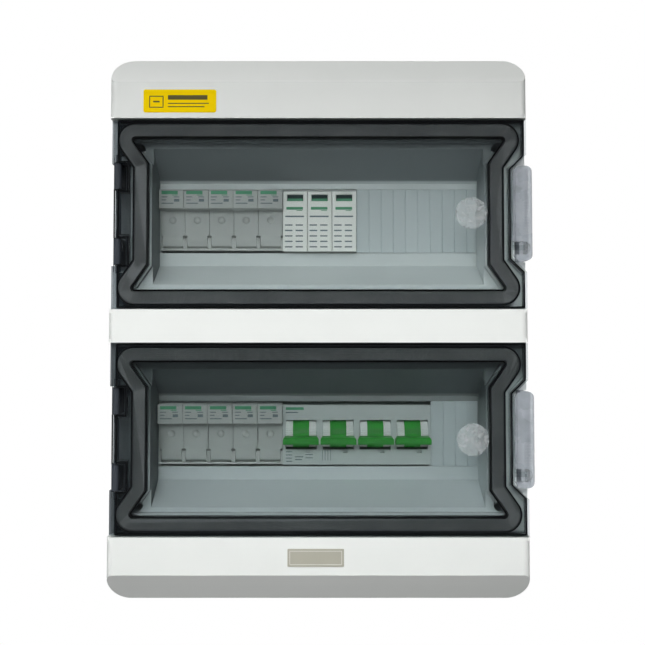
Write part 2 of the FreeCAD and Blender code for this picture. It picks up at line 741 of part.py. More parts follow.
def rail_screws():
    screws = []
    seat = rail_front - size("RailDepth") + 1
    for row, height in row_heights.items():
        for number, sign in enumerate((-1, 1), start=1):
            name = f"{row}_rail_screw_{number}"
            x = sign * size("RailBossX")
            head = rod(name + "_head", "y", 4.2, x, -seat - 2.4, height, 2.4)
            shank = rod(name + "_shank", "y", 1.95, x, -seat - 1, height, 13)
            screws.append(fuse(name, [head, shank]))
    finish(group("rail_screws", screws), "rail_screws")


def blank_strip(row, height, left):
    """A plate that closes the unused end of the device opening, scored every half module."""
    name = f"blank_strip_{row}"
    right = size("FunnelHalf") - 0.5
    face = funnel_floor + 0.6
    plate = block(name + "_plate", left, right, -face, 1.8 - face,
                  height - size("ApertureBottom") + 0.2, height + size("ApertureTop") - 0.2)
    hook = block(name + "_hook", left + 1, right - 1, 1.5 - face, 5 - face, height - 23, height - 21.5)
    hook_up = block(name + "_hook_up", left + 1, right - 1, 1.5 - face, 5 - face, height + 20.5,
                    height + 22)
    pitch = size("Module") / 2
    count = int((right.number - as_size(left).number) / pitch.number + 0.5) - 1
    scores = []
    for number in range(1, count + 1):
        x = left + number * pitch
        scores.append(block(f"{name}_score_{number}", x - 0.3, x + 0.3, -face - 1, 0.7 - face,
                            height - 30, height + 30))
    finish(cut(name, fuse(name + "_solid", [plate, hook, hook_up]), scores), name)


# ---------------------------------------------------------------- devices on the rails

def device_back(height):
    """The back of a device's side outline: it hugs the rail's front and both its edges."""
    tall = size("DeviceHalf")
    heel = 27
    clear = rail_half + 0.3
    seat = rail_front + 0.1
    return [(-heel, height + tall), (-heel, height + clear), (-seat, height + clear),
            (-seat, height - clear), (-heel, height - clear), (-heel, height - tall)]


def row_left(number, width):
    return number * width - size("RowLeft")


def fuse_base(name, left, height):
    """A fuse holder's fixed half: an open pocket, with two ears that carry the carrier's pivot."""
    tall = size("DeviceHalf")
    pivot_y = -size("CarrierY")
    pivot_z = height - size("CarrierZ")
    face_half = size("FacePlateHalf")
    right = left + size("Module") - 0.1
    low = height - face_half + 0.3
    outline = device_back(height) + [
        (-58, height - tall), (-63, height - 24), (-66, low), (pivot_y - 4.5, low),
        (pivot_y - 4.5, pivot_z), (pivot_y - 3.2, pivot_z + 3.1), (pivot_y, pivot_z + 4.5),
        (pivot_y, height + face_half), (-64, height + face_half), (-58, height + tall)]
    solid = side_prism(name + "_solid", outline, left, right)
    side = 1.35
    pocket = block(name + "_pocket", left + side, right - side, -78, -50, pivot_z - 4.8, height + 21.3)
    middle = left + (size("Module") - 0.1) / 2
    pivot = rod(name + "_pivot", "x", 1.5 + gap, left - 1, pivot_y, pivot_z, 20)
    ports = []
    for number, sign in enumerate((-1, 1), start=1):
        ports.append(rod(f"{name}_port_{number}", "y", 3.2, middle, -60, height + sign * 33, 8))
    return cut(name, solid, [pocket, pivot] + ports)


def fuse_bases(row, height):
    name = f"fuse_bases_{row}"
    bases = [fuse_base(f"{name}_{n + 1}", row_left(n, size("Module")), height) for n in range(5)]
    finish(group(name, bases), name)


def fuse_carrier(name, left, height):
    """The swinging half: a cradle for the fuse, a front plate with a raised brow, stub axles."""
    pivot_y = -size("CarrierY")
    pivot_z = height - size("CarrierZ")
    middle = left + (size("Module") - 0.1) / 2
    cradle = side_prism(name + "_cradle", [
        (-58, height + 18), (-58, height - 12), (-61, height - 18.6), (pivot_y + 2.4, pivot_z - 3.9),
        (pivot_y - 1.1, pivot_z - 4.4), (pivot_y - 3.2, pivot_z - 3.2), (pivot_y - 4.5, pivot_z),
        (pivot_y - 4.5, height + 19), (pivot_y - 0.5, height + 20.4), (-63, height + 20)],
        middle - 7.4, middle + 7.4)
    plate = side_prism(name + "_plate", [
        (pivot_y - 0.6, pivot_z + 4.7), (-75, pivot_z + 4.7), (-75.2, height - 4), (-76.6, height + 7.3),
        (-84.4, height + 8.1), (-84.8, height + 20.6), (-83.4, height + 22),
        (pivot_y - 0.6, height + 22)], middle - 8.85, middle + 8.85)
    axle = rod(name + "_axle", "x", 1.5, middle - 8.7, pivot_y, pivot_z, 17.4)
    room = rod(name + "_room", "z", size("FuseRadius") + 0.15, middle, -61.5, height - 19.6, 38.2)
    dimple = ball(name + "_dimple", 4.28, middle, -78.96, height - 0.1)
    solid = fuse(name + "_solid", [cradle, plate, axle])
    finish(cut(name, solid, [room, dimple]), name)


def fuse_link(name, left, height):
    middle = left + (size("Module") - 0.1) / 2
    bottom = height - 19.5
    length = size("FuseLength")
    radius = size("FuseRadius")
    tube = rod(name + "_tube", "z", radius - 0.25, middle, -61.5, bottom + 5, length - 10)
    caps = [rod(f"{name}_cap_{n}", "z", radius, middle, -61.5, start, 10)
            for n, start in enumerate((bottom, bottom + length - 10), start=1)]
    finish(fuse(name, [tube] + caps), name)


def fuse_clips():
    clips = []
    for row, height in row_heights.items():
        for number in range(5):
            middle = row_left(number, size("Module")) + (size("Module") - 0.1) / 2
            for end, z in (("low", height - 17.5), ("high", height + 9.5)):
                clips.append(block(f"clip_{row}_{number + 1}_{end}", middle - 4, middle + 4, -54.8,
                                   -50, z, z + 8))
    finish(group("fuse_clips", clips), "fuse_clips")


def fuse_rows():
    number = 1
    for row, height in row_heights.items():
        fuse_bases(row, height)
        for place_number in range(5):
            left = row_left(place_number, size("Module"))
            fuse_carrier(f"fuse_carrier_{number}", left, height)
            fuse_link(f"fuse_link_{number}", left, height)
            number += 1


def surge_protector():
    height = row_heights["upper"]
    left = row_left(5, size("Module"))
    tall = size("DeviceHalf")
    width = size("Module") * 3
    outline = device_back(height) + [
        (-58, height - tall), (-63, height - 24.6), (-69, height - 24.6), (-69, height - 23.2),
        (-46, height - 23.2), (-46, height + 21.4), (-74.5, height + 21.4), (-74.5, height + 22.8),
        (-63, height + 22.8), (-58, height + tall)]
    holes = []
    for number in range(3):
        middle = left + (number + 0.5) * size("Module")
        for sign in (-1, 1):
            holes.append(rod(f"surge_port_{number}_{sign + 1}", "y", 3.2, middle, -60,
                             height + sign * 33, 8))
        for z in (-15, 7):
            holes.append(block(f"surge_slot_{number}_{z + 20}", middle - 0.9, middle + 0.9, -47, -38,
                               height + z, height + z + 7))
        cartridge = f"surge_cartridge_{number + 1}"
        shell = block(cartridge + "_shell", middle - 8.85, middle + 8.85, -79, -46.2, height - 22.9,
                      height + 21.1)
        blades = [block(f"{cartridge}_blade_{z + 20}", middle - 0.6, middle + 0.6, -47, -39,
                        height + z + 0.4, height + z + 6.6) for z in (-15, 7)]
        window = block(cartridge + "_window", middle - 6, middle + 6, -80, -76.6, height + 14.1,
                       height + 18.9)
        finish(cut(cartridge, fuse(cartridge + "_solid", [shell] + blades), [window]), cartridge)
        flag = block(f"surge_flag_{number + 1}", middle - 5.9, middle + 5.9, -77.4, -76.6,
                     height + 14.2, height + 18.8)
        finish(flag, f"surge_flag_{number + 1}")
    solid = side_prism("surge_base_solid", outline, left, left + width - 0.1)
    finish(cut("surge_base", solid, holes), "surge_base")


def breaker():
    height = row_heights["lower"]
    left = row_left(5, size("Module"))
    right = left + 4 * size("Pole") - 0.1
    tall = size("DeviceHalf")
    face = size("DeviceFace")
    low = height - size("FacePlateHalf")
    high = height + size("BreakerTop")
    axis_y = -size("DrumY")
    axis_z = height - size("DrumZ")
    drum = size("DrumRadius")
    outline = device_back(height) + [
        (-58, height - tall), (-63, low), (-face, low), (-face, high), (-63, high),
        (-58, height + tall)]
    holes = [rod("tie_bore", "x", 2 + gap, left + 2, axis_y, axis_z, right - left - 4)]
    greens = [rod("tie_bar", "x", 2, left + 2.2, axis_y, axis_z, right - left - 4.4)]
    drums = []
    for number in range(4):
        middle = left + (number + 0.5) * size("Pole") - 0.05
        name = f"pole_{number + 1}"
        holes.append(block(name + "_window", middle - 11.2, middle + 11.2, -face - 1, -59.6,
                           height - 11.3, height + 10))
        holes.append(block(name + "_test_slot", middle + 3.3, middle + 6.9, -face - 1, 3 - face,
                           height - 13.9, height - 11.6))
        for sign in (-1, 1):
            holes.append(rod(f"{name}_port_{sign + 1}", "y", 3.6, middle, -60, height + sign * 33, 8))
        greens.append(rod(name + "_neck", "x", drum + 0.6, middle - 5.87, axis_y, axis_z, 11.74))
        grip = side_prism(name + "_grip", [
            (axis_y - 9.8, height - 0.9), (-86.3, height - 1.9), (-87.5, height - 3),
            (-87.7, height - 5.2), (-86.6, height - 6.9), (-81, height - 6.9), (-78.9, height - 5.5)],
            middle - 12.85, middle + 12.85)
        tapered = front_prism(name + "_taper", [
            (middle - 12.85, height - 10), (middle - 12.85, height - 3.2), (middle - 11.2, height - 0.8),
            (middle + 11.2, height - 0.8), (middle + 12.85, height - 3.2), (middle + 12.85, height - 10)],
            70, 95)
        greens.append(common(name + "_grip_tapered", grip, tapered))
        greens.append(side_prism(name + "_stem", [
            (axis_y, height - 0.9), (-82, height - 0.9), (-82, height - 5.5), (axis_y, height - 5.5)],
            middle - 5.87, middle + 5.87))
        for sign in (-1, 1):
            start = middle - 11 if sign < 0 else middle + 5.92
            disc = rod(f"{name}_drum_{sign + 1}", "x", drum, start, axis_y, axis_z, 5.08)
            eye = rod(f"{name}_eye_{sign + 1}", "x", 2 + gap, start - 1, axis_y, axis_z, 8)
            drums.append(cut(f"{name}_disc_{sign + 1}", disc, [eye]))
    finish(cut("breaker_case", side_prism("case_solid", outline, left, right), holes), "breaker_case")
    finish(fuse("breaker_toggles", greens), "breaker_toggles")
    finish(group("toggle_drums", drums), "toggle_drums")


# ---------------------------------------------------------------- wiring

def terminal_screws():
    screws = []
    spots = []
    for height in row_heights.values():
        spots += [(row_left(n + 0.5, size("Module")) - 0.05, height) for n in range(5)]
    spots += [(row_left(n + 5.5, size("Module")), row_heights["upper"]) for n in range(3)]
    breaker_left = row_left(5, size("Module"))
    spots += [(breaker_left + (n + 0.5) * size("Pole") - 0.05, row_heights["lower"]) for n in range(4)]
    for number, (x, height) in enumerate(spots, start=1):
        for end, sign in (("low", -1), ("high", 1)):
            name = f"terminal_{number}_{end}"
            head = rod(name + "_head", "y", 3, x, -55, height + sign * 33, 3)
            slot = block(name + "_slot", x - 3.5, x + 3.5, -56, -54.2, height + sign * 33 - 0.5,
                         height + sign * 33 + 0.5)
            screws.append(cut(name, head, [slot]))
    finish(group("terminal_screws", screws), "terminal_screws")


def wiring():
    first = row_left(0.5, size("Module"))
    upper_bar = row_heights["upper"] - size("DeviceHalf") - 3.2
    lower_bar = row_heights["lower"] + size("DeviceHalf") + 3.2
    bars = []
    for name, z, tooth in (("upper_bus", upper_bar, 1), ("lower_bus", lower_bar, -1)):
        pieces = [block(name + "_bar", first - 4, first + 76, -52, -49, z - 1, z + 1)]
        for number in range(5):
            x = first + number * size("Module")
            low, high = (z, z + 3) if tooth > 0 else (z - 3, z)
            pieces.append(block(f"{name}_tooth_{number}", x - 2, x + 2, -52, -49, low, high))
        bars.append(fuse(name, pieces))
    finish(group("busbars", bars), "busbars")

    cable = 2.4
    breaker_left = row_left(5, size("Module"))
    pole_one = breaker_left + size("Pole") / 2
    pole_four = breaker_left + 3.5 * size("Pole")
    breaker_top = row_heights["lower"] + size("DeviceHalf") + 0.3
    bar_end = first + 76.3

    def run(name, start_x, end_x, y, top):
        """A cable that leaves a busbar sideways and drops into the breaker."""
        across = rod(name + "_across", "x", cable, start_x, y, top, end_x - start_x)
        down = rod(name + "_down", "z", cable, end_x, y, breaker_top, top - breaker_top)
        bend = document.addObject("Part::Sphere", name + "_bend")
        bind(bend, "Radius", cable)
        place(bend, end_x, y, top)
        return fuse(name, [across, down, bend])

    finish(run("cable_positive", bar_end, pole_one, -50.5, upper_bar), "cable_positive")
    finish(run("cable_negative", bar_end, pole_four, -43, lower_bar + 5), "cable_negative")

    earth_x = as_size(100)
    earth_z = as_size(-150)
    surge_bottom = row_heights["upper"] - size("DeviceHalf") - 0.3
    surge_x = row_left(7.5, size("Module"))
    level = surge_bottom - 12
    pieces = [rod("earth_drop", "z", cable, surge_x, -50, level, surge_bottom - level),
              rod("earth_across", "x", cable, surge_x, -50, level, earth_x - surge_x),
              rod("earth_down", "z", cable, earth_x, -50, earth_z, level - earth_z),
              rod("earth_back", "y", cable, earth_x, -50, earth_z, 37.8)]
    for number, (x, z) in enumerate(((surge_x, level), (earth_x, level), (earth_x, earth_z)), start=1):
        bend = document.addObject("Part::Sphere", f"earth_bend_{number}")
        bind(bend, "Radius", cable)
        place(bend, x, -50, z)
        pieces.append(bend)
    finish(fuse("cable_earth", pieces), "cable_earth")
    finish(block("earth_bar", earth_x - 22, earth_x + 22, -12, -wall, earth_z - 5, earth_z + 5),
           "earth_bar")


# ---------------------------------------------------------------- build and write

rear_box()
box_seal()
front_cover()
cover_screws()
plates()
for row_name, row_height in row_heights.items():
    door(row_name, row_height)
    door_seal(row_name, row_height)
    door_dot(row_name, row_height)
    latch(row_name, row_height)
    din_rail(row_name, row_height)
hinge_lugs()
pivot_pins()
rail_screws()
blank_strip("upper", row_heights["upper"], row_left(8, size("Module")) + 0.2)
blank_strip("lower", row_heights["lower"], row_left(11, size("Module")) + 0.2)
fuse_rows()
fuse_clips()
surge_protector()
breaker()
terminal_screws()
wiring()

document.recompute()
faults = [item.Name for item in document.Objects if set(item.State) & {"Invalid", "Error"}]
for node_name, node in NODES:
    if node.Shape.isNull() or not node.Shape.isValid():
        faults.append(node_name + " shape")
if faults:
    raise RuntimeError("not built: " + ", ".join(faults))

os.makedirs("parts", exist_ok=True)
for node_name, node in NODES:
    node.Shape.exportStep(f"parts/{node_name}.step")
print(len(NODES), "nodes written")
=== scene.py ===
import json
import math

import bmesh
import bpy
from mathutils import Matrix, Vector
from mathutils.bvhtree import BVHTree

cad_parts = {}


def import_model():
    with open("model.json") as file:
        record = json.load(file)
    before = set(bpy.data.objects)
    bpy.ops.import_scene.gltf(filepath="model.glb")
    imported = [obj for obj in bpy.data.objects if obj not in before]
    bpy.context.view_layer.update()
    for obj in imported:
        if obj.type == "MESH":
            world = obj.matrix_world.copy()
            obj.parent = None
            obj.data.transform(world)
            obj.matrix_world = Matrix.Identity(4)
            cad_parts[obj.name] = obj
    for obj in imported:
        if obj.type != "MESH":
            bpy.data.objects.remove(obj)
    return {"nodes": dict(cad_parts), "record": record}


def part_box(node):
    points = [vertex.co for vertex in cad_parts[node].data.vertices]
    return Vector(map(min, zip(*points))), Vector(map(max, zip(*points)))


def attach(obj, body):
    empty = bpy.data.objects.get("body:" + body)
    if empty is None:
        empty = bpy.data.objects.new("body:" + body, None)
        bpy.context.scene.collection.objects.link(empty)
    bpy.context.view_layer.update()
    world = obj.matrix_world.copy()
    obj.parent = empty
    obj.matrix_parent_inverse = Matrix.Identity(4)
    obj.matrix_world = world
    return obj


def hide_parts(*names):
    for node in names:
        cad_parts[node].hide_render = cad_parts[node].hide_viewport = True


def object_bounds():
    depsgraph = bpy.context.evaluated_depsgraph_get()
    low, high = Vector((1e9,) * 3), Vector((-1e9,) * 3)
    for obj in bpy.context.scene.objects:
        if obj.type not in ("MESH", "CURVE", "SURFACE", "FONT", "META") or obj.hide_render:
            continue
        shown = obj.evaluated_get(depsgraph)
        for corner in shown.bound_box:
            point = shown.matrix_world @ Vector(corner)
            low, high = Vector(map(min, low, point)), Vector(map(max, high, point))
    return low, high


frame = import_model()
cad_low, cad_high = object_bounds()

MM = 0.001
ROW_HEIGHT = 78 * MM   # each device row above or below the middle
nodes = frame["nodes"]
body_nodes = frame["record"]["behaviour"]["bodies"]
body_of_node = {member: body for body, members in body_nodes.items() for member in members}


# ---------------------------------------------------------------- node material helpers

def new_material(name):
    material = bpy.data.materials.new(name)
    material.use_nodes = True
    material.node_tree.nodes.clear()
    return material, material.node_tree


def add_node(tree, kind, inputs=None, **settings):
    """A node with its settings, and its inputs given as values or as sockets to link."""
    item = tree.nodes.new(kind)
    for key, value in settings.items():
        setattr(item, key, value)
    for key, value in (inputs or {}).items():
        socket = item.inputs[key]
        if isinstance(value, bpy.types.NodeSocket):
            tree.links.new(value, socket)
        else:
            socket.default_value = value
    return item


def output(tree, surface):
    add_node(tree, "ShaderNodeOutputMaterial", {"Surface": surface})


def rgba(color):
    return (*color, 1.0)


def coordinates(tree):
    return add_node(tree, "ShaderNodeTexCoord").outputs["Object"]


def noise(tree, scale, detail=3.0, roughness=0.55, stretch=None):
    """Noise over the object's own coordinates, optionally stretched along one axis."""
    vector = coordinates(tree)
    if stretch:
        mapping = add_node(tree, "ShaderNodeMapping", {"Vector": vector, "Scale": stretch})
        vector = mapping.outputs[0]
    return add_node(tree, "ShaderNodeTexNoise", {
        "Vector": vector, "Scale": scale, "Detail": detail, "Roughness": roughness}).outputs["Fac"]


def spread(tree, value, low, high, from_low=0.3, from_high=0.7):
    """A noise value mapped to a range."""
    return add_node(tree, "ShaderNodeMapRange", {
        "Value": value, "From Min": from_low, "From Max": from_high,
        "To Min": low, "To Max": high}).outputs["Result"]


def mix_color(tree, factor, first, second):
    """A blend of two colours. The colour sockets of a mix node are reached by number."""
    item = add_node(tree, "ShaderNodeMix", data_type="RGBA")
    for index, value in ((0, factor), (6, first), (7, second)):
        if isinstance(value, bpy.types.NodeSocket):
            tree.links.new(value, item.inputs[index])
        else:
            item.inputs[index].default_value = value
    return item.outputs[2]


def calculate(tree, operation, *values):
    inputs = dict(enumerate(values))
    return add_node(tree, "ShaderNodeMath", inputs, operation=operation).outputs[0]


def scaled(color, amount):
    return rgba([min(1.0, channel * amount) for channel in color])


def edge_paled_color(tree, color, drift, edge_paling):
    """A colour that drifts slowly over the surface and pales along its edges."""
    slow = spread(tree, noise(tree, 22.0), 0.0, 1.0)
    base = mix_color(tree, slow, scaled(color, 1 - drift), scaled(color, 1 + drift))
    # Convex edges, found by their pointiness, turn paler.
    point = add_node(tree, "ShaderNodeNewGeometry").outputs["Pointiness"]
    edge = spread(tree, point, 0.0, edge_paling, 0.52, 0.6)
    return mix_color(tree, edge, base, scaled(color, 1.25))


BUMP_DISTANCE = 0.1 * MM


def bump_normal(tree, height, strength):
    return add_node(tree, "ShaderNodeBump", {
        "Height": height, "Strength": strength, "Distance": BUMP_DISTANCE}).outputs[0]


def grain_bump(tree, scale, strength):
    return bump_normal(tree, noise(tree, scale, 2.0), strength)


def moulded(name, color, roughness=0.42, grain=1800.0, depth=0.25, drift=0.03, edge_paling=0.3,
            specular=0.4):
    """Moulded plastic: fine grain, uneven gloss, slow colour drift and paler edges."""
    material, tree = new_material(name)
    gloss = spread(tree, noise(tree, 60.0), roughness - 0.05, roughness + 0.06)
    surface = add_node(tree, "ShaderNodeBsdfPrincipled", {
        "Base Color": edge_paled_color(tree, color, drift, edge_paling), "Roughness": gloss,
        "Specular IOR Level": specular, "Normal": grain_bump(tree, grain, depth)})
    output(tree, surface.outputs[0])
    return material


def brushed_metal(name, color, roughness=0.32, direction=(1.0, 1.0, 30.0)):
    """Plated metal with fine drawn lines and dull patches."""
    material, tree = new_material(name)
    lines = noise(tree, 260.0, 4.0, stretch=direction)
    patches = noise(tree, 90.0)
    tone = mix_color(tree, spread(tree, patches, 0.0, 1.0), scaled(color, 0.86), scaled(color, 1.1))
    normal = bump_normal(tree, lines, 0.25)
    surface = add_node(tree, "ShaderNodeBsdfPrincipled", {
        "Base Color": tone, "Metallic": 1.0,
        "Roughness": spread(tree, lines, roughness - 0.08, roughness + 0.12),
        "Normal": normal})
    output(tree, surface.outputs[0])
    return material


def foam(name, color):
    """Closed-cell foam rubber: tiny open cells and a dusty, uneven tone."""
    material, tree = new_material(name)
    cells = add_node(tree, "ShaderNodeTexVoronoi", {
        "Vector": coordinates(tree), "Scale": 1500.0}).outputs["Distance"]
    tone = mix_color(tree, spread(tree, noise(tree, 35.0), 0.0, 1.0), scaled(color, 0.88),
                     scaled(color, 1.14))
    speckled = mix_color(tree, spread(tree, cells, 0.25, 0.0, 0.0, 0.6), tone, scaled(color, 0.6))
    normal = bump_normal(tree, cells, 0.5)
    surface = add_node(tree, "ShaderNodeBsdfPrincipled", {
        "Base Color": speckled, "Roughness": 0.85, "Specular IOR Level": 0.2,
        "Normal": normal})
    output(tree, surface.outputs[0])
    return material


def clear_plastic(name, tint, haze_color, haze, gloss_roughness=0.05, mottle=None):
    """Thin tinted plastic: every surface tints what is behind it, with a little haze and a
    reflection that grows towards grazing angles on its outer side."""
    material, tree = new_material(name)
    through = add_node(tree, "ShaderNodeBsdfTransparent", {"Color": rgba(tint)}).outputs[0]
    tone = spread(tree, noise(tree, 120.0), 0.0, 1.0)
    milk_tone = mix_color(tree, tone, scaled(haze_color, 0.9), scaled(haze_color, 1.08))
    milk = add_node(tree, "ShaderNodeBsdfDiffuse", {"Color": milk_tone}).outputs[0]
    if mottle:
        amount = spread(tree, noise(tree, mottle, 4.0, 0.7), haze * 0.45, haze * 1.5, 0.35, 0.65)
    else:
        amount = spread(tree, noise(tree, 40.0), haze * 0.8, haze * 1.2)
    body = add_node(tree, "ShaderNodeMixShader", {0: amount, 1: through, 2: milk}).outputs[0]
    gloss = add_node(tree, "ShaderNodeBsdfGlossy", {
        "Roughness": spread(tree, noise(tree, 70.0), gloss_roughness * 0.7, gloss_roughness * 1.5)})
    grazing = add_node(tree, "ShaderNodeFresnel", {"IOR": 1.5}).outputs[0]
    back = add_node(tree, "ShaderNodeNewGeometry").outputs["Backfacing"]
    outside = calculate(tree, "SUBTRACT", 1.0, back)
    factor = calculate(tree, "MULTIPLY", grazing, outside)
    surface = add_node(tree, "ShaderNodeMixShader", {0: factor, 1: body, 2: gloss.outputs[0]})
    output(tree, surface.outputs[0])
    return material


RECESS_LEFT = (-131 * MM, -126 * MM)     # where the painted shade along the left side starts to fade, and ends
RECESS_RIGHT = (124 * MM, 128 * MM)      # where the zone of painted light beside the latch starts
LATCH_REACH = (38 * MM, 50 * MM)         # how far from the row's middle that zone fades out
RECESS_PAINTED_SHADE = (-24 * MM, 30 * MM)       # from the low tone to the high one of the painted shade, about the row's middle
SILL_DEPTH = (-76.5 * MM, -74.5 * MM)    # where the wall around the device opening begins
# Painted light: the paler tone of the casing beside the latch.
BESIDE_LATCH_PAINTED_LIGHT = (0.72, 0.76, 0.76)


def recess_plastic_painted_shade(name, row_z, low, high, edge, painted_sill_shade):
    """Casing plastic behind a door, with painted shade and light that follow where it lies.

    It goes from the low tone to the high one up the recess, and deep around the device
    opening from low to the sill's, as painted shade. The left edge and the left wall have
    painted shade of their own, and the zone beside the latch has painted light."""
    material, tree = new_material(name)
    position = add_node(tree, "ShaderNodeSeparateXYZ", {0: coordinates(tree)})
    facing = add_node(tree, "ShaderNodeNewGeometry").outputs["Normal"]
    sideways = add_node(tree, "ShaderNodeSeparateXYZ", {0: facing}).outputs["X"]
    # Painted shade: darker up the recess, where its roof faces down.
    upwards = spread(tree, position.outputs["Z"], 0.0, 1.0, row_z + RECESS_PAINTED_SHADE[0],
                     row_z + RECESS_PAINTED_SHADE[1])
    # Painted shade along the left side, and painted light beside the latch.
    leftwards = spread(tree, position.outputs["X"], 1.0, 0.0, *RECESS_LEFT)
    rightwards = spread(tree, position.outputs["X"], 0.0, 1.0, *RECESS_RIGHT)
    # Painted shade deep around the device opening.
    sill = spread(tree, position.outputs["Y"], 0.0, 1.0, *SILL_DEPTH)
    off_row = calculate(tree, "ABSOLUTE",
                        calculate(tree, "SUBTRACT", position.outputs["Z"], row_z))
    beside_latch = calculate(tree, "MULTIPLY", rightwards,
                             spread(tree, off_row, 1.0, 0.0, *LATCH_REACH))
    # Painted shade on faces that look to the right, as the recess's left wall does.
    left_wall = spread(tree, sideways, 0.0, 1.0, 0.3, 0.7)

    tone = mix_color(tree, upwards, rgba(low), rgba(high))
    around_opening = mix_color(tree, upwards, rgba(low), rgba(painted_sill_shade))
    tone = mix_color(tree, sill, tone, around_opening)
    tone = mix_color(tree, leftwards, tone, rgba(edge))
    tone = mix_color(tree, beside_latch, tone, rgba(BESIDE_LATCH_PAINTED_LIGHT))
    tone = mix_color(tree, left_wall, tone, scaled(high, 0.75))
    cloudy = spread(tree, noise(tree, 22.0), 0.0, 0.06)
    tone = mix_color(tree, cloudy, tone, rgba((0.0, 0.0, 0.0)))
    surface = add_node(tree, "ShaderNodeBsdfPrincipled", {
        "Base Color": tone, "Roughness": spread(tree, noise(tree, 60.0), 0.45, 0.56),
        "Specular IOR Level": 0.3, "Normal": grain_bump(tree, 1500.0, 0.18)})
    output(tree, surface.outputs[0])
    return material


casing = moulded("casing_plastic", (0.83, 0.855, 0.83), 0.5, 1500.0, 0.18, 0.012, 0.15, 0.3)
inner = moulded("inner_plastic", (0.57, 0.62, 0.63), 0.45, 1500.0, 0.18, 0.02, 0.2, 0.3)
device = moulded("device_plastic", (0.49, 0.505, 0.49), 0.45, 1600.0, 0.2, 0.025, 0.35, 0.35)
cartridge_white = moulded("cartridge_plastic", (0.93, 0.935, 0.89), 0.42, 1600.0, 0.2, 0.02, 0.3,
                          0.35)
breaker_grey = moulded("breaker_plastic", (0.55, 0.585, 0.575), 0.45, 1600.0, 0.2, 0.02, 0.3,
                       0.35)
drum_white = moulded("drum_white", (0.8, 0.81, 0.8), 0.4, 1600.0, 0.15, 0.02, 0.3)
green_gloss = moulded("handle_green", (0.04, 0.36, 0.045), 0.3, 1400.0, 0.12, 0.06, 0.45, 0.5)
flag_green = moulded("flag_green", (0.03, 0.055, 0.055), 0.5, 1400.0, 0.1, 0.08, 0.2)
black_plastic = moulded("rib_black", (0.0035, 0.0045, 0.006), 0.34, 1400.0, 0.1, 0.1, 0.1, 0.35)
smoke_solid = moulded("smoke_solid", (0.05, 0.058, 0.07), 0.22, 1400.0, 0.1, 0.1, 0.3, 0.6)
ceramic = moulded("ceramic_white", (0.82, 0.8, 0.74), 0.22, 900.0, 0.1, 0.03, 0.2, 0.5)
print_green = moulded("print_green", (0.12, 0.38, 0.22), 0.6, 2500.0, 0.1, 0.1, 0.0, 0.2)
print_grey = moulded("print_grey", (0.2, 0.24, 0.26), 0.6, 2500.0, 0.1, 0.1, 0.0, 0.2)
print_dark = moulded("print_dark", (0.12, 0.1, 0.03), 0.6, 2500.0, 0.1, 0.1, 0.0, 0.2)
label_yellow = moulded("label_yellow", (0.98, 0.68, 0.002), 0.7, 2600.0, 0.08, 0.02, 0.05, 0.03)
badge_foil = moulded("badge_beige", (0.4, 0.39, 0.32), 0.34, 2600.0, 0.1, 0.04, 0.4, 0.5)
badge_line = moulded("badge_line", (0.72, 0.72, 0.68), 0.4, 2600.0, 0.1, 0.04, 0.2, 0.4)
cable_red = moulded("cable_red", (0.5, 0.02, 0.015), 0.45, 900.0, 0.1, 0.05, 0.1)
cable_black = moulded("cable_black", (0.02, 0.02, 0.02), 0.45, 900.0, 0.1, 0.08, 0.1)
cable_earth = moulded("cable_earth_green", (0.2, 0.4, 0.03), 0.45, 900.0, 0.1, 0.05, 0.1)
zinc = brushed_metal("zinc_steel", (0.62, 0.62, 0.6))
copper = brushed_metal("copper_metal", (0.72, 0.45, 0.25), 0.3, (30.0, 1.0, 1.0))
# Painted shade behind the upper and lower doors; the lower row's is darker.
recess_upper_painted_shade = recess_plastic_painted_shade(
    "casing_recess_painted_shade_upper", ROW_HEIGHT, low=(0.7, 0.74, 0.74), high=(0.235, 0.26, 0.27),
    edge=(0.32, 0.35, 0.37), painted_sill_shade=(0.7, 0.74, 0.74))
recess_lower_painted_shade = recess_plastic_painted_shade(
    "casing_recess_painted_shade_lower", -ROW_HEIGHT, low=(0.67, 0.71, 0.72), high=(0.15, 0.17, 0.175),
    edge=(0.25, 0.28, 0.29), painted_sill_shade=(0.27, 0.29, 0.29))
# Painted shade in the deep hinge channels left of the doors.
hinge_painted_shade = moulded("casing_hinge_painted_shade", (0.11, 0.125, 0.135), 0.5, 1500.0, 0.18, 0.03, 0.1, 0.3)
seal_grey = foam("seal_foam", (0.155, 0.158, 0.163))
# The lower door's tint is darker than the upper's, which paints shade on what lies behind it.
smoke_tints_with_painted_shade = {"upper": (0.88, 0.9, 0.9), "lower": (0.815, 0.84, 0.84)}
smoke_panels = {row: clear_plastic(f"smoke_panel_{row}", tint, (0.3, 0.34, 0.36), 0.006)
                for row, tint in smoke_tints_with_painted_shade.items()}
smoke_skirt = clear_plastic("smoke_skirt", (0.9, 0.92, 0.93), (0.3, 0.34, 0.36), 0.02)
# Tinted sheets that paint the shade in the doors' left corners.
smoke_corner_painted_shade = clear_plastic("smoke_corner_painted_shade", (0.6, 0.63, 0.65), (0.2, 0.23, 0.25), 0.05)
frosted = clear_plastic("frosted_clear", (0.76, 0.79, 0.81), (0.62, 0.655, 0.7), 0.38, 0.25)
frosted_dot = clear_plastic("frosted_dot", (0.94, 0.95, 0.95), (0.72, 0.75, 0.76), 0.24, 0.3, 300.0)


# ---------------------------------------------------------------- mesh helpers

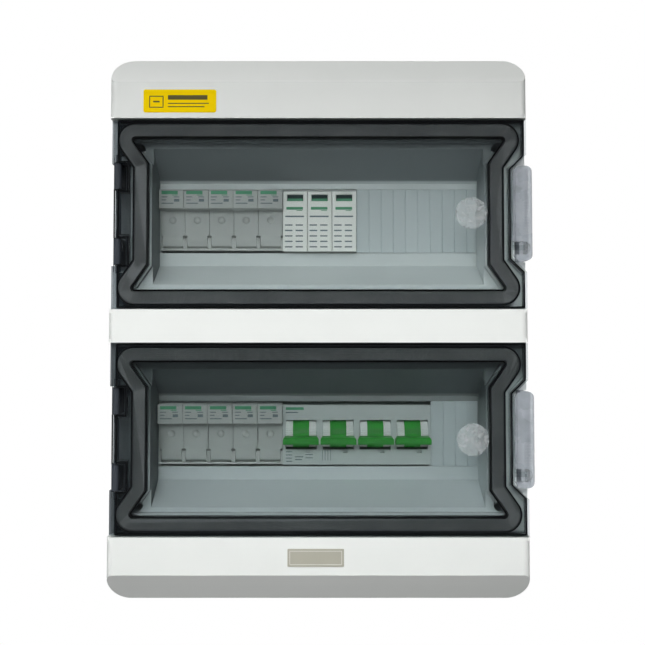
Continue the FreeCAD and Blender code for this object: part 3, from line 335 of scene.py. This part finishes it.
def finish_piece(name, shape, body, materials, sharp=50.0):
    """Turns a bmesh into a named, smooth-shaded piece that rides on a body."""
    bmesh.ops.recalc_face_normals(shape, faces=shape.faces)
    mesh = bpy.data.meshes.new(name)
    shape.to_mesh(mesh)
    shape.free()
    for material in materials:
        mesh.materials.append(material)
    mesh.shade_smooth()
    mesh.set_sharp_from_angle(angle=math.radians(sharp))
    piece = bpy.data.objects.new(name, mesh)
    bpy.context.scene.collection.objects.link(piece)
    weighted = piece.modifiers.new("even_shading", "WEIGHTED_NORMAL")
    weighted.keep_sharp = True
    weighted.weight = 80
    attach(piece, body)
    return piece


def node_shape(name):
    """A clean bmesh copy of a CAD node, with its triangles joined into flat faces."""
    source = nodes[name].data
    copy = bpy.data.meshes.new(name + "_copy")
    copy.from_pydata([vertex.co.copy() for vertex in source.vertices], [],
                     [tuple(polygon.vertices) for polygon in source.polygons])
    shape = bmesh.new()
    shape.from_mesh(copy)
    bpy.data.meshes.remove(copy)
    bmesh.ops.remove_doubles(shape, verts=shape.verts, dist=2e-6)
    bmesh.ops.dissolve_limit(shape, angle_limit=math.radians(0.5), verts=shape.verts,
                             edges=shape.edges)
    return shape


def soften(shape, width, segments, least=28.0, chosen=None):
    """Rounds the edges that turn by at least an angle in degrees."""
    edges = []
    for edge in shape.edges:
        if len(edge.link_faces) != 2:
            continue
        if math.degrees(edge.calc_face_angle(0.0)) < least:
            continue
        if chosen and not chosen(edge):
            continue
        edges.append(edge)
    bmesh.ops.bevel(shape, geom=edges, offset=width, offset_type="OFFSET", segments=segments,
                    profile=0.5, affect="EDGES", clamp_overlap=True, miter_outer="SHARP")


def refine(name, width, materials, segments=2, pick=None, before=None):
    """Stands for a CAD node with the same shape and edges softened by a width in mm."""
    shape = node_shape(name)
    if before:
        before(shape)
    soften(shape, width * MM, segments)
    if pick:
        for face in shape.faces:
            face.material_index = pick(face)
    piece = finish_piece("look_" + name, shape, body_of_node[name], materials)
    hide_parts(name)


def paint(name, material, slot):
    """Gives a CAD node that keeps its shape its own procedural material."""
    item = nodes[name]
    item.data.materials.clear()
    item.data.materials.append(material)


def add_slab(shape, x_low, x_high, z_low, z_high, y_front, y_back, radius, index=0, steps=3):
    """A rounded rectangular plate facing forward."""
    # A corner stays just under half a side, so that no two points of the ring coincide.
    radius = min(radius, (x_high - x_low) / 2.01, (z_high - z_low) / 2.01)
    ring = []
    corners = [(x_high - radius, z_high - radius, 0), (x_low + radius, z_high - radius, 1),
               (x_low + radius, z_low + radius, 2), (x_high - radius, z_low + radius, 3)]
    for x, z, quarter in corners:
        for step in range(steps + 1):
            turn = (quarter + step / steps) * math.pi / 2
            ring.append((x + radius * math.cos(turn), z + radius * math.sin(turn)))
    fronts = [shape.verts.new((x, y_front, z)) for x, z in ring]
    backs = [shape.verts.new((x, y_back, z)) for x, z in ring]
    faces = [shape.faces.new(fronts), shape.faces.new(list(reversed(backs)))]
    count = len(ring)
    for spot in range(count):
        after = (spot + 1) % count
        faces.append(shape.faces.new((fronts[spot], backs[spot], backs[after], fronts[after])))
    for face in faces:
        face.material_index = index


PRINT_RISE = 0.05 * MM
PRINT_SINK = 0.1 * MM
PRINT_CORNER = 0.25 * MM


def printed(name, body, left, top, front, marks, materials):
    """Thin printed marks: each is (x, drop, width, height, material) in mm from a corner."""
    shape = bmesh.new()
    for x, drop, width, height, index in marks:
        x_low = left + x * MM
        z_high = top - drop * MM
        add_slab(shape, x_low, x_low + width * MM, z_high - height * MM, z_high,
                 front - PRINT_RISE, front + PRINT_SINK, PRINT_CORNER, index)
    finish_piece(name, shape, body, materials)


# ---------------------------------------------------------------- housing

cover_low, cover_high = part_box("front_cover")

BEVEL_HEIGHT = 20 * MM      # the cover's top and bottom bevels
NEAR = 0.3 * MM
CHANNEL_EDGE = -131 * MM    # the hinge channels lie left of this
# The cover's material slots: plain casing, then painted shade behind each door and in the hinge
# channels.
CASING, UPPER_PAINTED_SHADE, LOWER_PAINTED_SHADE, HINGE_PAINTED_SHADE = range(4)


def crease(edge):
    """The long creases between the cover's flat bands and its top and bottom bevels."""
    middle = (edge.verts[0].co + edge.verts[1].co) / 2
    along = edge.verts[0].co - edge.verts[1].co
    off_crease = min(abs(middle.z - (cover_high.z - BEVEL_HEIGHT)),
                     abs(middle.z - (cover_low.z + BEVEL_HEIGHT)))
    at_front = abs(middle.y - cover_low.y) < NEAR
    return off_crease < NEAR and at_front and abs(along.x) > 100 * MM


def round_creases(shape):
    soften(shape, 1.2 * MM, 3, 20.0, crease)


def cover_pick(face):
    """The hinge channels and everything sunk behind a door get their own materials of painted
    shade.
    """
    middle = face.calc_center_median()
    from_row = min(abs(middle.z - ROW_HEIGHT), abs(middle.z + ROW_HEIGHT))
    depth = middle.y - cover_low.y
    # Faces in the hinge channels take painted shade; those sunk behind a door take the recess's.
    if middle.x < CHANNEL_EDGE and 9 * MM < depth < 24 * MM and from_row < 37 * MM:
        return HINGE_PAINTED_SHADE
    if 5.5 * MM < depth < 48 * MM and from_row < 62 * MM and abs(middle.x) < 143 * MM:
        return UPPER_PAINTED_SHADE if middle.z > 0 else LOWER_PAINTED_SHADE
    return CASING


refine("front_cover", 0.55, [casing, recess_upper_painted_shade, recess_lower_painted_shade, hinge_painted_shade],
       pick=cover_pick, before=round_creases)
refine("rear_box", 0.7, [casing])

for row in ("upper", "lower"):
    refine(f"blank_strip_{row}", 0.12, [inner], 1)


def label_and_badge():
    """The yellow label with a plain square and bars, and the badge with a plain border."""
    low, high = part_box("hazard_label")
    shape = bmesh.new()
    add_slab(shape, low.x, high.x, low.z, high.z, low.y, high.y, 1.4 * MM, 0, 6)
    plate = finish_piece("look_hazard_label", shape, "enclosure", [label_yellow])
    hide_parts("hazard_label")
    marks = [(4.0, 4.4, 10.0, 0.7, 0), (4.0, 12.1, 10.0, 0.7, 0), (4.0, 5.1, 0.7, 7.0, 0),
             (13.3, 5.1, 0.7, 7.0, 0), (6.7, 8.0, 4.6, 1.1, 0),
             (17.0, 4.0, 27.5, 3.2, 0), (17.0, 9.4, 28.5, 0.7, 0), (17.0, 11.7, 25.5, 0.7, 0)]
    printed("label_marks", "enclosure", low.x, high.z, low.y, marks, [print_dark])

    low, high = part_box("name_badge")
    shape = bmesh.new()
    add_slab(shape, low.x, high.x, low.z, high.z, low.y, high.y, 0.5 * MM, 0, 4)
    soften(shape, 0.12 * MM, 2)
    plate = finish_piece("look_name_badge", shape, "enclosure", [badge_foil])
    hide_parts("name_badge")
    wide = (high.x - low.x) / MM
    tall = (high.z - low.z) / MM
    marks = [(1.4, 1.3, wide - 2.8, 0.35, 0), (1.4, tall - 1.65, wide - 2.8, 0.35, 0),
             (1.4, 1.3, 0.35, tall - 2.6, 0), (wide - 1.75, 1.3, 0.35, tall - 2.6, 0)]
    printed("badge_lines", "enclosure", low.x, high.z, low.y, marks, [badge_line])


label_and_badge()


# ---------------------------------------------------------------- doors, seals and latches

PANEL_DEPTH = 3.1 * MM        # just behind the back face of a door's clear panel
SEAL_REACH = 2.5 * MM         # how far a seal's black rib reaches around it
KNUCKLE_WIDE = 5.5 * MM
KNUCKLE_HALF = 41 * MM        # the hinge knuckles lie within this of a door's middle
SKIRT_INSET = 2.8 * MM
VEIL_EDGE = -131.5 * MM       # the right side of the slabs of painted shade in the left corners
PANEL, RIB, SKIRT, KNUCKLE = range(4)


def door_pieces(row):
    """One door, its seal, latch and dot, with dark tinted slabs in its left corners that paint the
    shade there.
    """
    seal = nodes[f"{row}_door_seal"]
    seal_tree = BVHTree.FromPolygons([vertex.co for vertex in seal.data.vertices],
                                     [polygon.vertices for polygon in seal.data.polygons])
    door_low, door_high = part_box(f"{row}_door")
    row_middle = (door_low.z + door_high.z) / 2

    def pick(face):
        middle = face.calc_center_median()
        if middle.y < door_low.y + PANEL_DEPTH:
            return PANEL
        if max(seal_tree.find_nearest(corner.co)[3] for corner in face.verts) < SEAL_REACH:
            return RIB
        if middle.x < door_low.x + KNUCKLE_WIDE and abs(middle.z - row_middle) < KNUCKLE_HALF:
            return KNUCKLE
        return SKIRT

    refine(f"{row}_door", 0.3, [smoke_panels[row], black_plastic, smoke_skirt, smoke_solid],
           pick=pick)
    # Sheets of painted shade in the left corners, above and below the knuckles.
    shape = bmesh.new()
    for z_low, z_high in ((door_low.z + SKIRT_INSET, row_middle - KNUCKLE_HALF),
                          (row_middle + KNUCKLE_HALF, door_high.z - SKIRT_INSET)):
        add_slab(shape, door_low.x + SKIRT_INSET, VEIL_EDGE, z_low, z_high,
                 door_low.y + 7.4 * MM, door_low.y + 8 * MM, 1 * MM)
    finish_piece(f"{row}_door_corner_shade_slabs", shape, f"{row}_door", [smoke_corner_painted_shade])
    refine(f"{row}_door_seal", 0.5, [seal_grey])
    refine(f"{row}_latch", 0.5, [frosted])
    refine(f"{row}_door_dot", 0.12, [frosted_dot])


def outer_loop(shape):
    """The widest closed run of edges around a shape's front face, in order."""
    rim = {}
    for edge in shape.edges:
        fronts = [face.normal.y < -0.9 for face in edge.link_faces]
        if len(fronts) == 2 and fronts[0] != fronts[1]:
            for corner in edge.verts:
                rim.setdefault(corner, []).append(edge.other_vert(corner))
    loops = []
    left = set(rim)
    while left:
        here = min(left, key=lambda corner: (corner.co.x, corner.co.z))
        run = []
        while here in left:
            left.remove(here)
            run.append(here.co.copy())
            ahead = [corner for corner in rim[here] if corner in left]
            if ahead:
                here = ahead[0]
        loops.append(run)
    return max(loops, key=lambda run: max(point.x for point in run) - min(point.x for point in run))


def black_line(row, piece, source_name, section):
    """A black rib that follows a node's outline behind the door's clear panel.

    The section is a run of (distance outside the outline, y) corners in mm."""
    source = node_shape(source_name)
    source.normal_update()
    points = outer_loop(source)
    source.free()
    count = len(points)
    turning = sum(points[n].x * points[(n + 1) % count].z - points[(n + 1) % count].x * points[n].z
                  for n in range(count))
    sign = 1 if turning > 0 else -1
    shape = bmesh.new()
    rings = []
    for out, y in section:
        ring = []
        for spot, point in enumerate(points):
            before = point - points[spot - 1]
            after = points[(spot + 1) % count] - point
            # Outward directions of the two edges that meet here, then of the corner between.
            before = Vector((before.z, 0, -before.x)).normalized() * sign
            after = Vector((after.z, 0, -after.x)).normalized() * sign
            away = (before + after).normalized()
            reach = min(1.6, 1 / max(0.5, away.dot(after)))
            place = point + away * out * reach * MM
            ring.append(shape.verts.new((place.x, y * MM, place.z)))
        rings.append(ring)
    for first, second in zip(rings, rings[1:] + rings[:1]):
        for spot in range(count):
            after = (spot + 1) % count
            shape.faces.new((first[spot], first[after], second[after], second[spot]))
    finish_piece(f"{row}_door_{piece}", shape, f"{row}_door", [black_plastic])


SEAL_RIB = [(0.15, -116.8), (0.15, -112.2), (1.4, -112.2), (1.4, -116.8)]
RIM_LINE = [(-1.5, -116.8), (-1.5, -111.2), (-0.5, -111.2), (-0.5, -116.8)]


def latch_grip(row):
    """Fine raised ribs on the latch's outer front edge."""
    low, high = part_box(f"{row}_latch")
    middle = (low.z + high.z) / 2
    pitch = 2
    shape = bmesh.new()
    for step in range(13):
        z = middle + (-16 + pitch * step) * MM
        add_slab(shape, high.x - 6.6 * MM, high.x - 2.4 * MM, z, z + 0.7 * MM,
                 low.y - 0.25 * MM, low.y + 0.2 * MM, 0.3 * MM)
    finish_piece(f"{row}_latch_grip", shape, f"{row}_latch", [frosted])


for row in ("upper", "lower"):
    door_pieces(row)
    black_line(row, "rib", f"{row}_door_seal", SEAL_RIB)
    black_line(row, "rim", f"{row}_door", RIM_LINE)
    latch_grip(row)

refine("hinge_lugs", 0.3, [smoke_solid])
refine("cover_screws", 0.25, [zinc])


# ---------------------------------------------------------------- devices

def fuse_marks():
    """A plain green bar with grey rules, in place of any print."""
    return [(1.8, 1.3, 11.8, 2.4, 0), (9.6, 4.1, 4.2, 0.5, 0),
            (1.8, 5.4, 4.4, 0.6, 1), (10.6, 5.4, 4.2, 0.6, 1),
            (1.8, 7.6, 3.4, 0.6, 1), (11.0, 7.2, 3.8, 2.0, 1), (1.8, 10.0, 8.6, 0.7, 1)]


for number in range(1, 11):
    carrier = f"fuse_carrier_{number}"
    refine(carrier, 0.3, [device])
    low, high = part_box(carrier)
    printed(f"fuse_print_{number}", f"carrier_{number}", low.x, high.z, low.y,
            fuse_marks(), [print_green, print_grey])
    refine(f"fuse_link_{number}", 0.3, [ceramic])

for row in ("upper", "lower"):
    refine(f"fuse_bases_{row}", 0.25, [device])


def surge_marks():
    """A plain green bar over five rows of grey rules, in place of any print."""
    marks = [(2.4, 11.4, 12.2, 2.0, 0), (9.8, 13.8, 4.4, 0.5, 0), (1.6, 17.8, 13.8, 1.1, 1)]
    for row_number in range(5):
        drop = 24.2 + 4.0 * row_number
        marks.append((1.4, drop, 5.6, 1.0, 1))
        marks.append((9.2, drop, 5.4, 1.0, 1))
    return marks


for number in range(1, 4):
    cartridge = f"surge_cartridge_{number}"
    refine(cartridge, 0.35, [cartridge_white])
    refine(f"surge_flag_{number}", 0.1, [flag_green], 1)
    low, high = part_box(cartridge)
    printed(f"surge_print_{number}", f"cartridge_{number}", low.x, high.z, low.y,
            surge_marks(), [print_green, print_grey])
    flag_low, flag_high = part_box(f"surge_flag_{number}")
    printed(f"surge_state_{number}", f"cartridge_{number}", flag_low.x, flag_high.z,
            flag_low.y, [(0.3, 2.7, 11.2, 1.7, 0)], [print_green])
refine("surge_base", 0.3, [device])
refine("breaker_case", 0.35, [breaker_grey])
refine("breaker_toggles", 0.5, [green_gloss], 3)


FACE_HALF = 22.3 * MM     # half the height of the breaker's front
DRUM_DROP = 0.4 * MM      # the toggles' axis below the row's middle


def breaker_print():
    """Plain bars and rules on the first two poles, in place of any print."""
    low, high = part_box("breaker_case")
    drum_low, drum_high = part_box("toggle_drums")
    row_middle = (drum_low.z + drum_high.z) / 2 + DRUM_DROP
    marks = [(2.3, 3.0, 13.0, 2.0, 0), (2.3, 6.4, 9.0, 0.8, 1)]
    for step in range(4):
        marks.append((2.4, 35.0 + 2.3 * step, 4.6, 0.6, 1))
    marks += [(9.0, 38.6, 6.0, 0.7, 1), (9.0, 40.6, 5.0, 0.7, 1), (16.6, 37.0, 5.4, 0.6, 1),
              (16.6, 39.4, 5.4, 0.6, 1)]
    for step in range(4):
        marks.append((28.8 + 2.0 * step, 33.6, 0.35, 8.0, 1))
    printed("breaker_print", "enclosure", low.x, row_middle + FACE_HALF,
            low.y, marks, [print_green, print_grey])


breaker_print()


def islands(shape):
    """The separate solids in a bmesh, as lists of vertices, in the mesh's own order."""
    left = set(shape.verts)
    for start in shape.verts:
        if start not in left:
            continue
        left.remove(start)
        found = [start]
        waiting = [start]
        while waiting:
            here = waiting.pop()
            for edge in here.link_edges:
                other = edge.other_vert(here)
                if other in left:
                    left.remove(other)
                    found.append(other)
                    waiting.append(other)
        yield found


DRUM_TEETH = 40
STEPS_A_TOOTH = 4
TOOTH_DEPTH = 0.45 * MM
DRUM_BORE = 2.05 * MM


def ribbed_drums():
    """The toggle drums with the fine ribs that run along them."""
    source = node_shape("toggle_drums")
    shape = bmesh.new()
    count = DRUM_TEETH * STEPS_A_TOOTH
    for verts in islands(source):
        x_low = min(v.co.x for v in verts)
        x_high = max(v.co.x for v in verts)
        y_mid = (min(v.co.y for v in verts) + max(v.co.y for v in verts)) / 2
        z_mid = (min(v.co.z for v in verts) + max(v.co.z for v in verts)) / 2
        outer = (max(v.co.z for v in verts) - min(v.co.z for v in verts)) / 2
        loops = []
        for x in (x_low, x_high):
            outside = []
            inside = []
            for step in range(count):
                turn = step / count * 2 * math.pi
                radius = outer - (TOOTH_DEPTH if step % STEPS_A_TOOTH in (2, 3) else 0.0)
                outside.append(shape.verts.new((x, y_mid + radius * math.cos(turn),
                                                z_mid + radius * math.sin(turn))))
                inside.append(shape.verts.new((x, y_mid + DRUM_BORE * math.cos(turn),
                                               z_mid + DRUM_BORE * math.sin(turn))))
            loops.append((outside, inside))
        (out_a, in_a), (out_b, in_b) = loops
        for step in range(count):
            after = (step + 1) % count
            shape.faces.new((out_a[step], out_a[after], out_b[after], out_b[step]))
            shape.faces.new((in_a[after], in_a[step], in_b[step], in_b[after]))
            shape.faces.new((out_a[after], out_a[step], in_a[step], in_a[after]))
            shape.faces.new((out_b[step], out_b[after], in_b[after], in_b[step]))
    source.free()
    piece = finish_piece("look_toggle_drums", shape, body_of_node["toggle_drums"],
                         [drum_white], 30.0)
    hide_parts("toggle_drums")


ribbed_drums()


# ---------------------------------------------------------------- parts that keep their CAD shape

for name, material, slot in (
        ("box_seal", seal_grey, "seal_foam"), ("rail_screws", zinc, "zinc_steel"),
        ("terminal_screws", zinc, "zinc_steel"), ("pivot_pins", zinc, "zinc_steel"),
        ("din_rail_upper", zinc, "zinc_steel"), ("din_rail_lower", zinc, "zinc_steel"),
        ("busbars", copper, "copper_metal"), ("fuse_clips", copper, "copper_metal"),
        ("earth_bar", copper, "copper_metal"), ("cable_positive", cable_red, "cable_red"),
        ("cable_negative", cable_black, "cable_black"),
        ("cable_earth", cable_earth, "cable_earth_green")):
    paint(name, material, slot)


# ---------------------------------------------------------------- floor, light and camera

FLOOR_GAP = 0.36       # the box hangs above the floor
CAMERA_PLACE = (0.0, -0.822, -0.0104)
CAMERA_TILT = 2.6      # degrees upwards
CAMERA_LENS = 56.87
CAMERA_SHIFT = (0.0065, -0.0431)


def floor():
    """A pale floor, plain white where the camera sees it."""
    shape = bmesh.new()
    bmesh.ops.create_grid(shape, x_segments=1, y_segments=1, size=6.0)
    mesh = bpy.data.meshes.new("floor")
    shape.to_mesh(mesh)
    shape.free()
    material, tree = new_material("floor_pale")
    camera_ray = add_node(tree, "ShaderNodeLightPath").outputs["Is Camera Ray"]
    matt = add_node(tree, "ShaderNodeBsdfDiffuse", {"Color": rgba((0.3, 0.3, 0.3))}).outputs[0]
    pale = add_node(tree, "ShaderNodeEmission", {"Color": rgba((1, 1, 1)), "Strength": 1.0})
    mixed = add_node(tree, "ShaderNodeMixShader", {0: camera_ray, 1: matt, 2: pale.outputs[0]})
    output(tree, mixed.outputs[0])
    mesh.materials.append(material)
    item = bpy.data.objects.new("floor", mesh)
    item.location.z = cad_low.z - FLOOR_GAP
    bpy.context.scene.collection.objects.link(item)


def world():
    """Soft light from above, brighter in reflections, and plain white behind the object."""
    sky = bpy.data.worlds.new("studio")
    sky.use_nodes = True
    tree = sky.node_tree
    tree.nodes.clear()
    path = add_node(tree, "ShaderNodeLightPath")
    direction = add_node(tree, "ShaderNodeTexCoord").outputs["Generated"]
    height = add_node(tree, "ShaderNodeSeparateXYZ", {0: direction}).outputs["Z"]
    soft = add_node(tree, "ShaderNodeMapRange", {
        "Value": height, "From Min": -0.6, "From Max": 0.9, "To Min": 0.018, "To Max": 0.185},
        interpolation_type="SMOOTHSTEP").outputs["Result"]
    shine = add_node(tree, "ShaderNodeMapRange", {
        "Value": height, "From Min": 0.35, "From Max": 0.8, "To Min": 0.03, "To Max": 0.9},
        interpolation_type="SMOOTHSTEP").outputs["Result"]
    strength = add_node(tree, "ShaderNodeMix", {
        0: path.outputs["Is Glossy Ray"], 2: soft, 3: shine}, data_type="FLOAT").outputs[0]
    strength = add_node(tree, "ShaderNodeMix", {
        0: path.outputs["Is Camera Ray"], 2: strength, 3: 1.0}, data_type="FLOAT").outputs[0]
    background = add_node(tree, "ShaderNodeBackground", {
        "Color": rgba((1, 1, 1)), "Strength": strength})
    add_node(tree, "ShaderNodeOutputWorld", {"Surface": background.outputs[0]})
    bpy.context.scene.world = sky


def soft_light(name, place, target, size, power, spread_angle=180.0):
    """A rectangular light aimed at a point, which doesn't show in reflections."""
    data = bpy.data.lights.new(name, "AREA")
    data.shape = "RECTANGLE"
    data.size, data.size_y = size
    data.energy = power
    data.spread = math.radians(spread_angle)
    item = bpy.data.objects.new(name, data)
    item.location = place
    item.rotation_mode = "QUATERNION"
    item.rotation_quaternion = (Vector(target) - Vector(place)).to_track_quat("-Z", "Y")
    item.visible_glossy = False
    bpy.context.scene.collection.objects.link(item)


def camera():
    data = bpy.data.cameras.new("camera")
    data.lens = CAMERA_LENS
    data.sensor_width = 36.0
    data.shift_x, data.shift_y = CAMERA_SHIFT
    item = bpy.data.objects.new("camera", data)
    item.location = CAMERA_PLACE
    item.rotation_euler = (math.radians(90.0 + CAMERA_TILT), 0.0, 0.0)
    bpy.context.scene.collection.objects.link(item)
    bpy.context.scene.camera = item


floor()
world()
soft_light("key", (-0.45, -0.75, 0.9), (0.0, -0.1, 0.0), (0.8, 0.6), 2.5)
soft_light("front", (0.0, -1.0, 0.35), (0.0, -0.12, -0.1), (1.0, 0.3), 1.15, 52.0)
soft_light("left", (-0.9, -0.7, 0.25), (0.0, -0.1, 0.0), (0.6, 0.8), 1.5)
soft_light("low", (0.0, -1.0, -0.3), (0.0, -0.12, -0.08), (1.0, 0.3), 0.35, 70.0)
soft_light("back", (0.5, 1.4, 0.7), (0.0, 0.0, 0.0), (1.2, 1.2), 12.0)
camera()

scene = bpy.context.scene
scene.view_settings.view_transform = "Standard"
scene.view_settings.look = "None"
scene.cycles.transparent_max_bounces = 24   # a ray crosses many clear surfaces at a door

bpy.context.view_layer.update()
